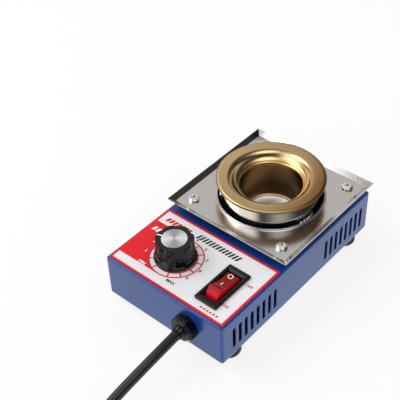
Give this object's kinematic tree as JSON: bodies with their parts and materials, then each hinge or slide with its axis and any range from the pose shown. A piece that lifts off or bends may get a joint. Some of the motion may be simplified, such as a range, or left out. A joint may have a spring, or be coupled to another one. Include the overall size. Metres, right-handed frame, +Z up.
{
  "type": "solder pot",
  "caption": "Mains solder pot: a vented sheet-metal box with a round crucible above a splash tray, a heat dial, a rocker switch, rubber feet and a coiled cord with plug.",
  "frame": {"origin": "on the table, below the middle of the box and its splash tray", "axes": "+Z up, +X to the right as seen from the front; the front panel with its cord faces -Y"},
  "size_m": [0.1015, 0.3954, 0.0524],
  "materials": {
    "black_bakelite": "gloss black moulding",
    "black_steel": "black oxide steel",
    "blue_paint": "satin blue powder paint",
    "board_green": "green solder mask on glass fibre",
    "brass": "turned brass",
    "capacitor_yellow": "yellow box-film case",
    "ceramic": "white glazed ceramic",
    "chip_black": "black epoxy",
    "control_case": "pressed steel case",
    "cord_black": "black flexible sheath",
    "heat_tinted_steel": "spun steel, straw-tinted by heat",
    "label_white": "white printed film",
    "mica": "mica sheet with a wound element",
    "mineral_wool": "pressed mineral fibre",
    "pin_nickel": "nickel-plated brass",
    "plug_black": "black moulded sheath compound",
    "polished_steel": "mirror-polished stainless steel",
    "print_red": "red print",
    "relief_black": "gloss black nylon",
    "rocker_red": "translucent red moulding",
    "rubber": "matt black rubber",
    "sink_aluminium": "extruded aluminium",
    "spun_aluminium": "circularly spun aluminium",
    "stainless_sheet": "satin stainless steel sheet",
    "steel_plate": "plain zinc-plated steel",
    "switch_black": "satin black moulding",
    "terminal_grey": "grey polyamide",
    "white_mark": "white filled mark",
    "zinc_steel": "bright zinc-plated steel"
  },
  "bodies": {
    "box": {"base_plate": "steel_plate", "board_screws": "zinc_steel", "board_standoffs": "brass", "control_board": "board_green", "control_nut": "zinc_steel", "control_washer": "zinc_steel", "cord_coil": "cord_black", "cover": "blue_paint", "crucible": "heat_tinted_steel", "earth_lug": "brass", "earth_nut": "zinc_steel", "earth_screw": "zinc_steel", "film_capacitor": "capacitor_yellow", "foot_front_left": "rubber", "foot_front_right": "rubber", "foot_rear_left": "rubber", "foot_rear_right": "rubber", "foot_screws": "zinc_steel", "heat_control": "control_case", "heat_sink": "sink_aluminium", "heater_band": "mica", "heater_insulation": "mineral_wool", "heater_shell": "polished_steel", "heater_standoffs": "ceramic", "label_print": "print_red", "panel_label": "label_white", "plug_body": "plug_black", "plug_cord": "cord_black", "plug_earth_clips": "pin_nickel", "plug_pins": "pin_nickel", "power_cord": "cord_black", "splash_tray": "stainless_sheet", "standoff_nuts": "zinc_steel", "standoff_screws": "zinc_steel", "strain_relief": "relief_black", "switch_housing": "switch_black", "switch_terminals": "brass", "terminal_block": "terminal_grey", "tray_nuts": "zinc_steel", "tray_screws": "zinc_steel", "tray_spacers": "zinc_steel", "triac": "chip_black"},
    "dial_knob": {"knob": "black_bakelite", "knob_cap": "spun_aluminium", "knob_pointer": "white_mark", "knob_bush": "brass", "knob_set_screw": "black_steel", "control_shaft": "zinc_steel"},
    "rocker": {"switch_rocker": "rocker_red"}
  },
  "joints": [
    {"name": "heat_dial", "type": "hinge", "parent": "box", "child": "dial_knob", "pos_m": [-0.0116, -0.04666, 0.0343], "axis": [0, 0, 1], "range_deg": [-254, 34]},
    {"name": "power_rocker", "type": "hinge", "parent": "box", "child": "rocker", "pos_m": [0.0246, -0.04786, 0.031], "axis": [1, 0, 0], "range_deg": [0, 22]}
  ]
}
